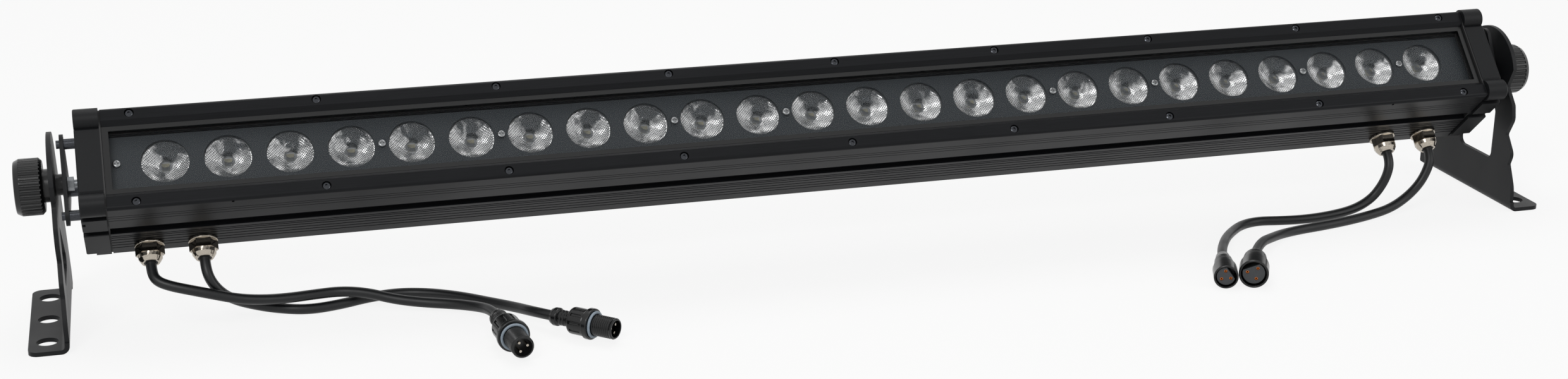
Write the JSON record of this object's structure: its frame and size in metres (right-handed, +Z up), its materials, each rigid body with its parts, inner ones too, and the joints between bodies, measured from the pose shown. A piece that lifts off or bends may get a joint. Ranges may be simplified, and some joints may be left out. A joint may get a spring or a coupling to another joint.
{
  "type": "outdoor wall washer light",
  "caption": "Long outdoor LED wall washer bar with a row of round lenses, tilting between two foot brackets with hand knobs, and four cable tails with plugs and sockets",
  "frame": {"origin": "on the floor under the middle of the lamp, measured without its cables and connectors", "axes": "X along the bar, positive to the right as the lamp faces the viewer; Y positive to the back, so the lamp faces -Y and up; Z up, square to the feet"},
  "size_m": [1.1126, 0.2325, 0.1498],
  "materials": {
    "anodised_profile": "black anodised, fine brushed",
    "cast_cap": "black powder coat, fine texture",
    "powder_coated_sheet": "black powder coat, satin",
    "black_moulding": "moulded, satin",
    "lens_plate_black": "fine moulded texture",
    "clear_lens": "clear, polished",
    "front_glass": "clear tempered",
    "nickel_plate": "nickel plated",
    "zinc_steel": "zinc plated",
    "stainless_screw": "polished",
    "black_screw": "black oxide",
    "brass_washer": "plain",
    "cable_jacket": "matte",
    "black_rubber": "matte",
    "pale_seal": "matte",
    "grey_insert": "moulded",
    "copper_contact": "plain",
    "circuit_board": "solder mask",
    "led_board": "white solder mask",
    "led": "moulded",
    "driver_case": "plain"
  },
  "bodies": {
    "light_bar": {"housing_profile": "anodised_profile", "window_frame": "black_moulding", "front_glass": "front_glass", "glass_seal": "black_rubber", "lens_plate": "lens_plate_black", "lenses": "clear_lens", "led_board_left": "led_board", "led_board_right": "led_board", "led_packages": "led", "lens_plate_screws": "stainless_screw", "flange_screws_upper": "black_screw", "flange_screws_lower": "black_screw", "led_driver": "driver_case", "control_board": "circuit_board", "gland_bodies": "nickel_plate", "gland_nuts": "nickel_plate", "gland_seals": "black_rubber", "gland_locknuts": "nickel_plate", "end_cap_left": "cast_cap", "end_gasket_left": "black_rubber", "end_cap_screws_left": "black_screw", "standoff_posts_left": "black_screw", "pivot_plate_left": "powder_coated_sheet", "pivot_plate_screws_left": "black_screw", "pivot_nut_left": "zinc_steel", "pivot_spacer_left": "black_moulding", "end_cap_right": "cast_cap", "end_gasket_right": "black_rubber", "end_cap_screws_right": "black_screw", "standoff_posts_right": "black_screw", "pivot_plate_right": "powder_coated_sheet", "pivot_plate_screws_right": "black_screw", "pivot_nut_right": "zinc_steel", "pivot_spacer_right": "black_moulding", "cable_plug_large": "cable_jacket", "plug_large_body": "black_moulding", "plug_large_o_ring": "pale_seal", "plug_large_pins": "nickel_plate", "cable_plug_small": "cable_jacket", "plug_small_body": "black_moulding", "plug_small_o_ring": "pale_seal", "plug_small_pins": "nickel_plate", "cable_socket_large": "cable_jacket", "socket_large_body": "black_moulding", "socket_large_insert": "grey_insert", "socket_large_contacts": "copper_contact", "cable_socket_small": "cable_jacket", "socket_small_body": "black_moulding", "socket_small_insert": "grey_insert", "socket_small_contacts": "copper_contact"},
    "bracket_left": {"bracket_left": "powder_coated_sheet"},
    "bracket_right": {"bracket_right": "powder_coated_sheet"},
    "knob_left": {"knob_left": "black_moulding", "knob_stud_left": "zinc_steel", "knob_washer_left": "brass_washer"},
    "knob_right": {"knob_right": "black_moulding", "knob_stud_right": "zinc_steel", "knob_washer_right": "brass_washer"},
    "socket_ring_large": {"socket_large_ring": "black_moulding"},
    "socket_ring_small": {"socket_small_ring": "black_moulding"}
  },
  "joints": [
    {"name": "bracket_left_tilt", "type": "hinge", "parent": "light_bar", "child": "bracket_left", "pos_m": [-0.5315, -0.0152, 0.0996], "axis": [1, 0, 0], "continuous": true},
    {"name": "bracket_right_tilt", "type": "hinge", "parent": "light_bar", "child": "bracket_right", "pos_m": [0.5315, -0.0152, 0.0996], "axis": [1, 0, 0], "continuous": true},
    {"name": "knob_left_turn", "type": "hinge", "parent": "light_bar", "child": "knob_left", "pos_m": [-0.545, -0.0152, 0.0996], "axis": [1, 0, 0], "continuous": true},
    {"name": "knob_right_turn", "type": "hinge", "parent": "light_bar", "child": "knob_right", "pos_m": [0.545, -0.0152, 0.0996], "axis": [1, 0, 0], "continuous": true},
    {"name": "socket_ring_large_turn", "type": "hinge", "parent": "light_bar", "child": "socket_ring_large", "pos_m": [0.26866, -0.15215, 0.0104], "axis": [-0.4781, -0.8783, 0], "continuous": true},
    {"name": "socket_ring_small_turn", "type": "hinge", "parent": "light_bar", "child": "socket_ring_small", "pos_m": [0.24875, -0.14769, 0.0086], "axis": [-0.3851, -0.9229, 0], "continuous": true}
  ]
}
